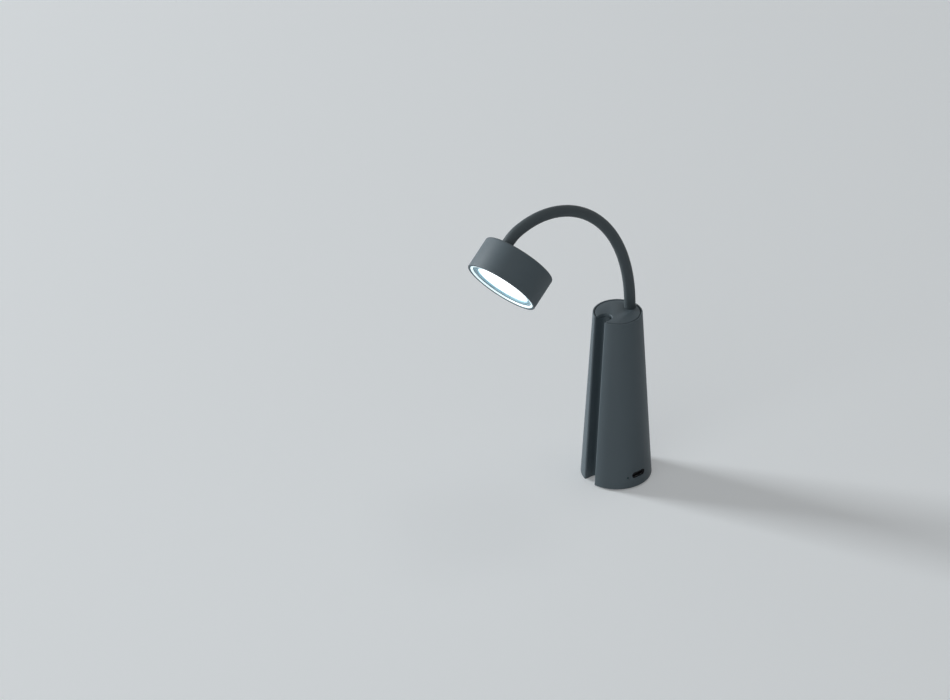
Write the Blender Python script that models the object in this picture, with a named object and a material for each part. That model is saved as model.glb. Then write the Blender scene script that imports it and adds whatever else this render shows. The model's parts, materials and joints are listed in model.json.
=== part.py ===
"""Rechargeable torch table lamp: a tapered hand-held body, a flexible neck and a round light head.

Units are metres and +Z is up. The origin is on the body's axis, where the foot meets the table.
The channel for the neck runs down the front (-Y), the charging port looks to +X, and the neck
leaves the top behind the axis (+Y). In torch use the neck folds over the top into the channel,
and the head comes to lie under the foot.
"""

from math import cos, log, pi, radians, sin, sqrt

import bmesh
import bpy
from mathutils import Matrix, Vector

# Body
BODY_HEIGHT = 0.116
BODY_BOTTOM_RADIUS = 0.0221
BODY_TOP_RADIUS = 0.0152
SHELL_WALL = 0.0016
BASE_WALL = 0.0011
RIM_WALL = 0.0008
EDGE_ROUND = 0.0005
FLOOR_GAP = 0.0008

# Channel for the folded neck
CHANNEL_DEPTH = 0.00965
CHANNEL_SIDE_GAP = 0.00055
CHANNEL_WALL = 0.0012
CHANNEL_LIP_ROUND = 0.0009

# Neck
NECK_RADIUS = 0.0035
NECK_LENGTH = 0.1546
NECK_EXIT_OFFSET = 0.0097
ROOT_BEND_RADIUS = 0.131
TIP_BEND_RADIUS = 0.0417
NECK_STUB = 0.007
LOOP_PITCH = 0.00493
LOOP_HINGES = 6
ARM_SEGMENTS = 10
BALL_SHARE = 1.2
BALL_RING_SHARES = (0.72, 0.38)
NECK_ROOT_DEPTH = 0.0125
NECK_SEAT = 0.001
NECK_STUD_RADIUS = 0.0025
NECK_TIP_DEPTH = 0.0065

# Head
HEAD_TILT = radians(7.3)
HEAD_OVERHANG = 0.001
HEAD_LENGTH = 0.0205
HEAD_WALL = 0.0009
HEAD_BACK_WALL = 0.0016
HEAD_BACK_ROUND = 0.0012
LIGHT_RECESS = 0.0013
GLOW_RING_WIDTH = 0.0015
TRIM_RING_WIDTH = 0.0025
DIFFUSER_THICKNESS = 0.0009
LED_BOARD_THICKNESS = 0.001
LED_BOARD_DEPTH = 0.0088
BOARD_FLANGE = 0.0034
BOARD_FLANGE_THICKNESS = 0.0012
TRIM_THICKNESS = 0.0005
DIFFUSER_LAP = 0.0014

# Cap and base
CAP_THICKNESS = 0.002
CAP_SEAM = 0.00035
CAP_BOSS_WALL = 0.0009
CAP_BOSS_DEPTH = 0.006
FOOT_THICKNESS = 0.001
COVER_THICKNESS = 0.002
BALLAST_THICKNESS = 0.0036

# Charging port and its light
PORT_HEIGHT = 0.0092
PORT_WIDTH = 0.0094
PORT_THICKNESS = 0.0036
PORT_GAP = 0.0002
PORT_WALL = 0.0003
PORT_RECESS = 0.0006
PORT_LENGTH = 0.0073
TONGUE_WIDTH = 0.0066
TONGUE_THICKNESS = 0.0007
LIGHT_PIPE_RADIUS = 0.0007
LIGHT_PIPE_LENGTH = 0.004
LIGHT_PIPE_HEIGHT = 0.0083
LIGHT_PIPE_BEARING = radians(-21)

# Works inside the body
BOARD_THICKNESS = 0.0012
CELL_RADIUS = 0.0093
CELL_HEADROOM = 0.0181
CELL_OFFSET = 0.0042
CARRIER_WALL = 0.0009
CARRIER_PLATE = 0.0016
CONTACT_DEPTH = 0.0022
CONTACT_RADIUS = 0.0035
CONTACT_SHEET = 0.0004
BUTTON_SHARE = 0.3
CRADLE_SHARE = 0.3
SCREW_RADIUS = 0.0012
SCREW_HEAD_RADIUS = 0.0022
SCREW_HEAD_HEIGHT = 0.0011
STANDOFF_RADIUS = 0.002
FASTENER_INSET = 0.0079
FASTENER_BEARINGS = [radians(50), radians(130), radians(215), radians(325)]
TOUCH_PAD_HALF_LENGTH = 0.0075
TOUCH_PAD_HALF_WIDTH = 0.0028
TOUCH_PAD_THICKNESS = 0.0003
NUT_WALL = 0.0009
NUT_HEIGHT = 0.0032

# Light source
EMITTER_RADIUS = 0.0095
EMITTER_HEIGHT = 0.0008
PHOSPHOR_SHARE = 0.78
LED_SCREW_BEARINGS = [radians(30), radians(150), radians(270)]
LED_SCREW_RADIUS = 0.0007
LED_SCREW_HEAD_RADIUS = 0.0013
LED_SCREW_HEAD_HEIGHT = 0.0007
REFLECTOR_WALL = 0.0008
REFLECTOR_THROAT_SHARE = 0.82

# Fits and fineness
CLEARANCE = 0.0003
CUT_OVERRUN = 0.004
WELD_DISTANCE = 0.00003
BODY_STEPS = 64
INNER_STEPS = 40
NECK_SIDES = 16
SMALL_STEPS = 24
SMOOTH_ANGLE = radians(35)

HEAD_RADIUS = BODY_BOTTOM_RADIUS + HEAD_OVERHANG
FASTENER_CIRCLE = BODY_BOTTOM_RADIUS - FASTENER_INSET
CHANNEL_RADIUS = NECK_RADIUS + CHANNEL_SIDE_GAP
CHANNEL_INSET = CHANNEL_DEPTH - CHANNEL_RADIUS
BALL_RADIUS = NECK_RADIUS * BALL_SHARE
SOCKET_RADIUS = BALL_RADIUS + CLEARANCE
HOLE_RADIUS = NECK_RADIUS + CLEARANCE
STUD_HOLE_RADIUS = NECK_STUD_RADIUS + CLEARANCE
CAP_BOTTOM = BODY_HEIGHT - CAP_THICKNESS
COVER_BOTTOM = FOOT_THICKNESS + CLEARANCE
BALLAST_BOTTOM = COVER_BOTTOM + COVER_THICKNESS + CLEARANCE
BALLAST_TOP = BALLAST_BOTTOM + BALLAST_THICKNESS
BOARD_BOTTOM = PORT_HEIGHT + PORT_THICKNESS / 2 + CLEARANCE - PORT_GAP
BOARD_TOP = BOARD_BOTTOM + BOARD_THICKNESS
CARRIER_BOTTOM = BOARD_TOP + CLEARANCE
CELL_BOTTOM = CARRIER_BOTTOM + CARRIER_PLATE + CONTACT_DEPTH
CARRIER_TOP = BODY_HEIGHT - NECK_ROOT_DEPTH - CELL_HEADROOM
CELL_TOP = CARRIER_TOP - CARRIER_PLATE - CONTACT_DEPTH


def clear_scene():
    for old in list(bpy.data.objects):
        bpy.data.objects.remove(old, do_unlink=True)


def make_material(name, colour, roughness, metallic=0.0, glow=0.0):
    found = bpy.data.materials.new(name)
    found.use_nodes = True
    shader = found.node_tree.nodes["Principled BSDF"]
    shader.inputs["Base Color"].default_value = (*colour, 1.0)
    shader.inputs["Roughness"].default_value = roughness
    shader.inputs["Metallic"].default_value = metallic
    shader.inputs["Emission Color"].default_value = (*colour, 1.0)
    shader.inputs["Emission Strength"].default_value = glow
    found.diffuse_color = (*colour, 1.0)
    return found


def finish(bm, name, surface, place=None):
    """Turns a bmesh into a named object with outward faces and smooth round sides."""
    bmesh.ops.recalc_face_normals(bm, faces=bm.faces)
    mesh = bpy.data.meshes.new(name)
    bm.to_mesh(mesh)
    bm.free()
    mesh.shade_smooth()
    mesh.set_sharp_from_angle(angle=SMOOTH_ANGLE)
    if surface:
        mesh.materials.append(surface)
    made = bpy.data.objects.new(name, mesh)
    bpy.context.collection.objects.link(made)
    if place:
        made.matrix_world = place
    return made


def cut(target, tool, operation="DIFFERENCE"):
    """Cuts or joins a hidden tool object with the target."""
    tool.hide_render = True
    tool.display_type = "WIRE"
    change = target.modifiers.new(tool.name, "BOOLEAN")
    change.operation = operation
    change.object = tool
    return target


def turned(profile, steps):
    """A solid turned about Z from (radius, height) points that run from the axis back to it, or in a ring."""
    bm = bmesh.new()
    points = [bm.verts.new((radius, 0.0, height)) for radius, height in profile]
    for first, second in zip(points, points[1:]):
        bm.edges.new((first, second))
    if profile[0][0] > 0.0:
        bm.edges.new((points[-1], points[0]))
    bmesh.ops.spin(
        bm, geom=bm.verts[:] + bm.edges[:], axis=(0, 0, 1), cent=(0, 0, 0),
        angle=2 * pi, steps=steps, use_merge=True,
    )
    bmesh.ops.remove_doubles(bm, verts=bm.verts, dist=EDGE_ROUND / 100)
    return bm


def prism(outline, shift):
    """A solid swept straight from a flat outline of 3D points by a shift vector."""
    bm = bmesh.new()
    face = bm.faces.new([bm.verts.new(point) for point in outline])
    swept = bmesh.ops.extrude_face_region(bm, geom=[face], use_keep_orig=True)
    moved = [item for item in swept["geom"] if isinstance(item, bmesh.types.BMVert)]
    bmesh.ops.translate(bm, verts=moved, vec=shift)
    return bm


def arc(centre, radius, start, end, steps):
    """Points on an arc, both ends included."""
    angles = [start + (end - start) * step / steps for step in range(steps + 1)]
    return [(centre[0] + radius * cos(a), centre[1] + radius * sin(a)) for a in angles]


def rounded(corner, radius, start):
    """A quarter round of a profile that meets two sides at an outer corner."""
    return arc(corner, radius, start, start + pi / 2, 3)


def stadium(half_length, radius, steps=8):
    """The outline of a slot with round ends, along the first axis."""
    return arc((half_length, 0.0), radius, -pi / 2, pi / 2, steps) + arc(
        (-half_length, 0.0), radius, pi / 2, 3 * pi / 2, steps
    )


def body_radius(height):
    """The outer radius of the tapered body."""
    return BODY_BOTTOM_RADIUS + (BODY_TOP_RADIUS - BODY_BOTTOM_RADIUS) * height / BODY_HEIGHT


def channel_centre(height):
    """How far in front of the axis the folded neck's centre lies."""
    return body_radius(height) - CHANNEL_INSET


def channel_outline(half_width, lip):
    """The channel in plan, seen from above: a round inner end, straight sides and, if asked, rounded lips."""
    inner = arc((0.0, 0.0), half_width, pi, 0.0, 12)
    reach = CHANNEL_INSET + BODY_BOTTOM_RADIUS - BODY_TOP_RADIUS
    if not lip:
        return inner + [(half_width, -reach), (-half_width, -reach)]
    start = CHANNEL_INSET - EDGE_ROUND - lip
    right = arc((half_width + lip, -start), lip, pi, 3 * pi / 2, 4)
    left = [(-x, y) for x, y in reversed(right)]
    return inner + right + [(half_width + lip, -reach), (-half_width - lip, -reach)] + left


def channel_tool(name, half_width, low, high, lip=0.0):
    """A tool the shape of the channel, slanted like the body's side."""
    base = [Vector((x, y - channel_centre(low), low)) for x, y in channel_outline(half_width, lip)]
    shift = Vector((0.0, channel_centre(low) - channel_centre(high), high - low))
    return finish(prism(base, shift), name, None)


def inner_notch(name, low, high):
    """The room that an inner plate leaves for the channel's wall."""
    return channel_tool(
        name, CHANNEL_RADIUS + CHANNEL_WALL + CLEARANCE, low - CUT_OVERRUN, high + CUT_OVERRUN
    )


def disc(name, radius, low, high, surface, rounding=0.0, steps=BODY_STEPS):
    """A round plate about the body's axis, with its outer edges rounded if asked."""
    if rounding:
        lower = rounded((radius - rounding, low + rounding), rounding, -pi / 2)
        upper = rounded((radius - rounding, high - rounding), rounding, 0.0)
        profile = [(0.0, low)] + lower + upper + [(0.0, high)]
    else:
        profile = [(0.0, low), (radius, low), (radius, high), (0.0, high)]
    return finish(turned(profile, steps), name, surface)


def upright(name, radius, low, high, centre, surface=None):
    """A plain upright cylinder."""
    bm = turned([(0.0, low), (radius, low), (radius, high), (0.0, high)], SMALL_STEPS)
    bmesh.ops.translate(bm, verts=bm.verts, vec=(centre[0], centre[1], 0.0))
    return finish(bm, name, surface)


def neck_heading(along):
    """How far the neck has turned from upright after a length along it. Its bend tightens evenly."""
    tightening = ROOT_BEND_RADIUS / TIP_BEND_RADIUS
    return NECK_LENGTH / ROOT_BEND_RADIUS * (tightening ** (along / NECK_LENGTH) - 1) / log(tightening)


def neck_line(along):
    """The even curve of the neck: the place after a length along it, and its side, outer and forward."""
    steps = 200
    reach, rise = 0.0, 0.0
    for step in range(steps):
        heading = neck_heading(along * (step + 0.5) / steps)
        reach += sin(heading) * along / steps
        rise += cos(heading) * along / steps
    heading = neck_heading(along)
    towards = Vector((0.0, -1.0, 0.0))
    upwards = Vector((0.0, 0.0, 1.0))
    forward = towards * sin(heading) + upwards * cos(heading)
    outer = upwards * sin(heading) - towards * cos(heading)
    side = outer.cross(forward)
    place = Vector((0.0, NECK_EXIT_OFFSET, BODY_HEIGHT)) + towards * reach + upwards * rise
    return place, side, outer, forward


def along_at(heading):
    """The length along the neck at which it has turned by a given angle."""
    tightening = log(ROOT_BEND_RADIUS / TIP_BEND_RADIUS)
    return NECK_LENGTH * log(1 + heading * ROOT_BEND_RADIUS * tightening / NECK_LENGTH) / tightening


def hinge_stations():
    """Where along the neck its hinges lie: an even pitch for the loop over the top, then even turns."""
    close = [NECK_STUB + LOOP_PITCH * step for step in range(LOOP_HINGES)]
    first = neck_heading(close[-1])
    turn = (neck_heading(NECK_LENGTH) - first) / ARM_SEGMENTS
    return close + [along_at(first + turn * step) for step in range(1, ARM_SEGMENTS)]


def neck_frame(along):
    """The neck as it stands: its curve, with the end past the last hinge tilted to one side."""
    place, side, outer, forward = neck_line(along)
    last = hinge_stations()[-1]
    if along <= last:
        return place, side, outer, forward
    pivot = neck_line(last)[0]
    tilt = Matrix.Rotation(HEAD_TILT, 3, neck_line(NECK_LENGTH)[2])
    return pivot + tilt @ (place - pivot), tilt @ side, tilt @ outer, tilt @ forward


def ring(frame, radius, ahead=0.0):
    """A ring of points about the neck's line."""
    place, side, outer, forward = frame
    centre = place + forward * ahead
    return [
        centre + side * (radius * cos(2 * pi * step / NECK_SIDES))
        + outer * (radius * sin(2 * pi * step / NECK_SIDES))
        for step in range(NECK_SIDES)
    ]


def ball_rings(frame, radius):
    """Rings on a ball about a hinge, from the neck's surface inwards, and the ball's crown."""
    edge = sqrt(radius**2 - NECK_RADIUS**2)
    rings = [ring(frame, NECK_RADIUS, edge)]
    for share in BALL_RING_SHARES:
        inner = NECK_RADIUS * share
        rings.append(ring(frame, inner, sqrt(radius**2 - inner**2)))
    place, forward = frame[0], frame[3]
    return rings, place + forward * radius


def lofted(rings, first_crown, last_crown):
    """A closed solid through rings of points, ended at a crown point at either end."""
    bm = bmesh.new()
    loops = [[bm.verts.new(point) for point in points] for points in rings]
    count = len(loops[0])
    for one, two in zip(loops, loops[1:]):
        for step in range(count):
            after = (step + 1) % count
            bm.faces.new((one[step], one[after], two[after], two[step]))
    for loop, crown in ((loops[0], first_crown), (loops[-1], last_crown)):
        tip = bm.verts.new(crown)
        for step in range(count):
            bm.faces.new((loop[step], loop[(step + 1) % count], tip))
    return bm


def neck_segment(name, start, end, surface):
    """One link: a cup that turns on the ball of the link before, a piece of the neck, and a ball."""
    cup, cup_crown = ball_rings(neck_frame(start), SOCKET_RADIUS)
    rings = list(reversed(cup))
    cup_edge = sqrt(SOCKET_RADIUS**2 - NECK_RADIUS**2)
    ball_edge = sqrt(BALL_RADIUS**2 - NECK_RADIUS**2)
    if end - start > cup_edge * 3:
        for share in (1 / 3, 2 / 3):
            along = start + cup_edge + (end + ball_edge - start - cup_edge) * share
            rings.append(ring(neck_frame(along), NECK_RADIUS))
    if end < NECK_LENGTH:
        ball, ball_crown = ball_rings(neck_frame(end), BALL_RADIUS)
        return finish(lofted(rings + ball, cup_crown, ball_crown), name, surface)
    tip = neck_frame(NECK_LENGTH)
    rings.append(ring(tip, NECK_RADIUS))
    rings.append(ring(tip, NECK_RADIUS, NECK_TIP_DEPTH))
    return finish(lofted(rings, cup_crown, tip[0] + tip[3] * NECK_TIP_DEPTH), name, surface)


def neck_root(surface):
    """The first piece of the neck: its stud goes through the cap, its sleeve is seated in the cap."""
    start = neck_frame(0.0)
    rings = [
        ring(start, NECK_STUD_RADIUS, -NECK_ROOT_DEPTH), ring(start, NECK_STUD_RADIUS, -NECK_SEAT),
        ring(start, NECK_RADIUS, -NECK_SEAT), ring(start, NECK_RADIUS),
    ]
    ball, crown = ball_rings(neck_frame(NECK_STUB), BALL_RADIUS)
    foot = start[0] - start[3] * NECK_ROOT_DEPTH
    return finish(lofted(rings + ball, foot, crown), "neck_root", surface)


def hex_nut(name, hole, low, place, surface):
    """A thin hexagon nut about a local Z axis."""
    flat = hole + NUT_WALL
    corner = flat / cos(pi / 6)
    outline = [
        Vector((corner * cos(pi / 3 * step), corner * sin(pi / 3 * step), low)) for step in range(6)
    ]
    nut = finish(prism(outline, Vector((0.0, 0.0, NUT_HEIGHT))), name, surface, place)
    bore = turned(
        [(0.0, low - CUT_OVERRUN), (hole, low - CUT_OVERRUN),
         (hole, low + NUT_HEIGHT + CUT_OVERRUN), (0.0, low + NUT_HEIGHT + CUT_OVERRUN)],
        SMALL_STEPS,
    )
    return cut(nut, finish(bore, name + "_bore", None, place))


def screw(name, spot, radii, heights, surface, place=None):
    """A pan-head screw about local Z, from its head's top and underside to its shank's end."""
    head_radius, shank_radius = radii
    head_top, head_under, shank_end = heights
    bm = turned(
        [(0.0, head_top), (head_radius, head_top), (head_radius, head_under),
         (shank_radius, head_under), (shank_radius, shank_end), (0.0, shank_end)],
        SMALL_STEPS // 2,
    )
    bmesh.ops.translate(bm, verts=bm.verts, vec=(spot[0], spot[1], 0.0))
    return finish(bm, name, surface, place)


def fastener_spots():
    """Where the base screws and the board's standoffs stand."""
    return [
        (FASTENER_CIRCLE * cos(bearing), FASTENER_CIRCLE * sin(bearing))
        for bearing in FASTENER_BEARINGS
    ]


def drill(target, name, spots, radius, low, high, place=None):
    """Drills like holes along local Z."""
    bm = bmesh.new()
    for spot in spots:
        add_cylinder(bm, spot, radius, low, high)
    return cut(target, finish(bm, name, None, place))


def body_shell(surface):
    """The tapered grip: a thin shell with the neck's channel let into its front."""
    low, high = FLOOR_GAP, BODY_HEIGHT
    bottom, top = body_radius(low), body_radius(high)
    lower = rounded((bottom - EDGE_ROUND, low + EDGE_ROUND), EDGE_ROUND, -pi / 2)
    rim = RIM_WALL / 3
    upper = rounded((top - rim, high - rim), rim, 0.0)
    outside = [(0.0, low)] + lower + upper + [(0.0, high)]
    shell = finish(turned(outside, BODY_STEPS), "body_shell", surface)

    ledge = BALLAST_TOP + CLEARANCE
    seat = CAP_BOTTOM - CLEARANCE
    below, above = low - CUT_OVERRUN, seat + CLEARANCE
    inside = [
        (0.0, below), (body_radius(below) - BASE_WALL, below),
        (body_radius(ledge) - BASE_WALL, ledge), (body_radius(ledge) - SHELL_WALL, ledge),
        (body_radius(above) - SHELL_WALL, above), (0.0, above),
    ]
    cavity = finish(turned(inside, BODY_STEPS), "cavity", None)
    cut(cavity, channel_tool(
        "channel_wall", CHANNEL_RADIUS + CHANNEL_WALL, below - CUT_OVERRUN, above + CUT_OVERRUN
    ))
    cut(shell, cavity)
    recess = BODY_TOP_RADIUS - RIM_WALL
    cut(shell, disc("cap_recess", recess, seat, high + CUT_OVERRUN, None))
    cut(shell, channel_tool(
        "channel", CHANNEL_RADIUS, below, high + CUT_OVERRUN, CHANNEL_LIP_ROUND
    ))
    cut(shell, port_prism(
        "port", PORT_WIDTH, PORT_THICKNESS, BODY_TOP_RADIUS, BODY_BOTTOM_RADIUS + CUT_OVERRUN
    ))
    return cut(shell, light_pipe("light_hole", LIGHT_PIPE_RADIUS + CLEARANCE / 2, CUT_OVERRUN, None))


def light_pipe(name, radius, proud, surface):
    """The charge light's clear pin, square to the wall beside the port."""
    reach = body_radius(LIGHT_PIPE_HEIGHT)
    bm = turned(
        [(0.0, reach - LIGHT_PIPE_LENGTH - proud), (radius, reach - LIGHT_PIPE_LENGTH - proud),
         (radius, reach + proud), (0.0, reach + proud)],
        SMALL_STEPS // 2,
    )
    turn = Matrix.Rotation(LIGHT_PIPE_BEARING, 4, "Z") @ Matrix.Rotation(pi / 2, 4, "Y")
    return finish(bm, name, surface, Matrix.Translation((0.0, 0.0, LIGHT_PIPE_HEIGHT)) @ turn)


def top_cap(surface):
    """The flush cap: notched for the channel, bored for the neck, with a boss that steadies it."""
    radius = BODY_TOP_RADIUS - RIM_WALL - CAP_SEAM
    centre = (0.0, NECK_EXIT_OFFSET)
    cap = disc("top_cap", radius, CAP_BOTTOM, BODY_HEIGHT, surface)
    cut(cap, channel_tool(
        "cap_notch", CHANNEL_RADIUS, CAP_BOTTOM - CUT_OVERRUN, BODY_HEIGHT + CUT_OVERRUN
    ))
    cap.modifiers.new("weld", "WELD").merge_threshold = WELD_DISTANCE
    edge = cap.modifiers.new("edge", "BEVEL")
    edge.width = EDGE_ROUND
    edge.segments = 2
    edge.limit_method = "ANGLE"
    edge.angle_limit = radians(60)
    cut(cap, upright(
        "cap_boss", STUD_HOLE_RADIUS + CAP_BOSS_WALL, CAP_BOTTOM - CAP_BOSS_DEPTH,
        CAP_BOTTOM + CAP_THICKNESS / 4, centre,
    ), "UNION")
    cut(cap, upright(
        "cap_bore", STUD_HOLE_RADIUS, CAP_BOTTOM - CAP_BOSS_DEPTH - CUT_OVERRUN,
        BODY_HEIGHT + CUT_OVERRUN, centre,
    ))
    return cut(cap, upright(
        "cap_seat", HOLE_RADIUS, BODY_HEIGHT - NECK_SEAT - CLEARANCE, BODY_HEIGHT + CUT_OVERRUN, centre,
    ))


def base_foot(surface):
    """The soft foot that the lamp stands on, open where the channel ends."""
    radius = body_radius(FLOOR_GAP) - BASE_WALL - CLEARANCE
    foot = disc("base_foot", radius, 0.0, FOOT_THICKNESS, surface, EDGE_ROUND / 2)
    return cut(foot, inner_notch("foot_notch", 0.0, FOOT_THICKNESS))


def base_cover(surface):
    """The moulded plate that closes the shell from below, with sunk seats for its screws."""
    low, high = COVER_BOTTOM, COVER_BOTTOM + COVER_THICKNESS
    radius = body_radius(low) - BASE_WALL - CLEARANCE * 2
    cover = disc("base_cover", radius, low, high, surface, steps=INNER_STEPS)
    cut(cover, inner_notch("cover_notch", low, high))
    through = SCREW_RADIUS + CLEARANCE
    drill(cover, "cover_holes", fastener_spots(), through, low - CUT_OVERRUN, high + CUT_OVERRUN)
    seat = low + SCREW_HEAD_HEIGHT + CLEARANCE
    return drill(
        cover, "cover_seats", fastener_spots(), SCREW_HEAD_RADIUS + CLEARANCE, low - CUT_OVERRUN, seat
    )


def ballast_weight(surface):
    """The steel weight that keeps the lamp upright; the base screws are tapped into it."""
    low, high = BALLAST_BOTTOM, BALLAST_TOP
    radius = body_radius(high) - BASE_WALL - CLEARANCE
    weight = disc("ballast_weight", radius, low, high, surface, steps=INNER_STEPS)
    cut(weight, inner_notch("ballast_notch", low, high))
    through = SCREW_RADIUS + CLEARANCE
    return drill(
        weight, "ballast_holes", fastener_spots(), through, low - CUT_OVERRUN, high + CUT_OVERRUN
    )


def base_screws(surface):
    """The screws that hold the cover to the weight."""
    head = COVER_BOTTOM + CLEARANCE / 2
    heights = (head, head + SCREW_HEAD_HEIGHT, BALLAST_TOP - CLEARANCE)
    for number, spot in enumerate(fastener_spots(), start=1):
        screw(f"base_screw_{number}", spot, (SCREW_HEAD_RADIUS, SCREW_RADIUS), heights, surface)


def board_standoffs(surface):
    """The pillars between the weight and the circuit board."""
    low, high = BALLAST_TOP + CLEARANCE, BOARD_BOTTOM - CLEARANCE
    for number, spot in enumerate(fastener_spots(), start=1):
        upright(f"board_standoff_{number}", STANDOFF_RADIUS, low, high, spot, surface)


def main_board(surface):
    """The round circuit board over the charging socket."""
    radius = body_radius(BOARD_TOP) - SHELL_WALL - CLEARANCE
    board = disc("main_board", radius, BOARD_BOTTOM, BOARD_TOP, surface, steps=INNER_STEPS)
    return cut(board, inner_notch("board_notch", BOARD_BOTTOM, BOARD_TOP))


def port_prism(name, width, thickness, start, end, surface=None):
    """A flat bar with round sides along X, at the port's height."""
    points = [
        Vector((start, y, z + PORT_HEIGHT)) for y, z in stadium((width - thickness) / 2, thickness / 2)
    ]
    return finish(prism(points, Vector((end - start, 0.0, 0.0))), name, surface)


def port_mouth():
    """How far from the axis the socket's mouth lies, just inside the shell's face."""
    face = sqrt(body_radius(PORT_HEIGHT) ** 2 - (PORT_WIDTH / 2) ** 2)
    return face - PORT_RECESS


def usb_socket(surface):
    """The drawn metal shell of the charging socket."""
    mouth = port_mouth()
    width, thickness = PORT_WIDTH - PORT_GAP * 2, PORT_THICKNESS - PORT_GAP * 2
    socket = port_prism("usb_socket", width, thickness, mouth - PORT_LENGTH, mouth, surface)
    bore = port_prism(
        "usb_bore", width - PORT_WALL * 2, thickness - PORT_WALL * 2,
        mouth - PORT_LENGTH + PORT_WALL * 2, mouth + CUT_OVERRUN,
    )
    return cut(socket, bore)


def usb_tongue(surface):
    """The contact tongue in the middle of the socket."""
    mouth = port_mouth()
    start = mouth - PORT_LENGTH + PORT_WALL * 2 + CLEARANCE
    return port_prism("usb_tongue", TONGUE_WIDTH, TONGUE_THICKNESS, start, mouth - PORT_RECESS, surface)


def battery_cell(surface):
    """The rechargeable cell: a steel can with its rolled-in shoulder and raised positive button."""
    lip = CELL_RADIUS / 10
    button = CELL_RADIUS * BUTTON_SHARE
    shoulder = CELL_TOP - lip * 2
    profile = (
        [(0.0, CELL_BOTTOM)]
        + rounded((CELL_RADIUS - lip, CELL_BOTTOM + lip), lip, -pi / 2)
        + [(CELL_RADIUS, shoulder - lip * 2), (CELL_RADIUS - lip / 2, shoulder - lip),
           (CELL_RADIUS, shoulder)]
        + rounded((CELL_RADIUS - lip, shoulder), lip, 0.0)
        + [(button, shoulder + lip), (button, CELL_TOP), (0.0, CELL_TOP)]
    )
    bm = turned(profile, SMALL_STEPS)
    return finish(bm, "battery_cell", surface, Matrix.Translation((0.0, CELL_OFFSET, 0.0)))


def battery_carrier(surface):
    """The cradle round the back of the cell, with an end wall for each contact."""
    inner = CELL_RADIUS + CLEARANCE
    outer = inner + CARRIER_WALL
    centre = (0.0, CELL_OFFSET)
    carrier = upright("battery_carrier", outer, CARRIER_BOTTOM, CARRIER_TOP, centre, surface)
    low, high = CARRIER_BOTTOM + CARRIER_PLATE, CARRIER_TOP - CARRIER_PLATE
    cut(carrier, upright("carrier_bore", inner, low, high, centre))
    front = CELL_OFFSET - CELL_RADIUS * CRADLE_SHARE
    corners = [(-outer * 2, front), (outer * 2, front), (outer * 2, -outer * 2), (-outer * 2, -outer * 2)]
    opening = [Vector((x, y, low)) for x, y in corners]
    cut(carrier, finish(prism(opening, Vector((0.0, 0.0, high - low))), "carrier_front", None))
    trim = channel_tool(
        "carrier_trim", CHANNEL_RADIUS + CHANNEL_WALL + CLEARANCE,
        CARRIER_BOTTOM - CUT_OVERRUN, CARRIER_TOP + CUT_OVERRUN,
    )
    return cut(carrier, trim)


def battery_contact(name, seat, up, surface):
    """A pressed leaf between the cradle's end wall and the cell: a flat rim and a domed middle."""
    tip = seat + up * (CONTACT_DEPTH - CLEARANCE * 2)
    crown = CONTACT_RADIUS * BUTTON_SHARE
    sheet = up * CONTACT_SHEET
    profile = [
        (0.0, tip - sheet), (crown, tip - sheet), (crown * 2, seat), (CONTACT_RADIUS, seat),
        (CONTACT_RADIUS, seat + sheet), (crown * 2 + CONTACT_SHEET, seat + sheet),
        (crown + CONTACT_SHEET, tip), (0.0, tip),
    ]
    bm = turned(profile, SMALL_STEPS // 2)
    return finish(bm, name, surface, Matrix.Translation((0.0, CELL_OFFSET, 0.0)))


def touch_pad(surface):
    """The copper pad under the cap that senses a finger."""
    top = CAP_BOTTOM - CLEARANCE
    boss_front = NECK_EXIT_OFFSET - STUD_HOLE_RADIUS - CAP_BOSS_WALL
    wall_back = CHANNEL_RADIUS + CHANNEL_WALL - channel_centre(CAP_BOTTOM)
    middle = (boss_front + wall_back) / 2
    outline = [
        Vector((x, y + middle, top - TOUCH_PAD_THICKNESS))
        for x, y in stadium(TOUCH_PAD_HALF_LENGTH - TOUCH_PAD_HALF_WIDTH, TOUCH_PAD_HALF_WIDTH)
    ]
    return finish(prism(outline, Vector((0.0, 0.0, TOUCH_PAD_THICKNESS))), "touch_pad", surface)


def head_place():
    """The head's frame: its origin in the middle of its back, its Z out of the light."""
    place, side, outer, forward = neck_frame(NECK_LENGTH)
    middle = place - outer * channel_centre(0.0)
    turn = Matrix((side, outer, forward)).transposed()
    return Matrix.Translation(middle) @ turn.to_4x4()


def head_shell(surface, place):
    """The drawn round cup: rounded at the back, with a flange inside that carries the light board."""
    wall_inside = HEAD_RADIUS - HEAD_WALL
    flange = LED_BOARD_DEPTH - BOARD_FLANGE_THICKNESS
    lip = HEAD_WALL / 4
    profile = (
        [(0.0, 0.0)]
        + rounded((HEAD_RADIUS - HEAD_BACK_ROUND, HEAD_BACK_ROUND), HEAD_BACK_ROUND, -pi / 2)
        + rounded((HEAD_RADIUS - lip, HEAD_LENGTH - lip), lip, 0.0)
        + [(wall_inside, HEAD_LENGTH), (wall_inside, LED_BOARD_DEPTH),
           (wall_inside - BOARD_FLANGE, LED_BOARD_DEPTH), (wall_inside - BOARD_FLANGE, flange),
           (wall_inside, flange), (wall_inside, HEAD_BACK_WALL), (0.0, HEAD_BACK_WALL)]
    )
    shell = finish(turned(profile, BODY_STEPS), "head_shell", surface, place)
    hole = upright(
        "head_hole", HOLE_RADIUS, -CUT_OVERRUN, HEAD_BACK_WALL + CUT_OVERRUN, (0.0, channel_centre(0.0))
    )
    hole.matrix_world = place
    cut(shell, hole)
    return drill(
        shell, "flange_holes", led_screw_spots(), LED_SCREW_RADIUS + CLEARANCE,
        flange - CLEARANCE, LED_BOARD_DEPTH + CUT_OVERRUN, place,
    )


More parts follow.
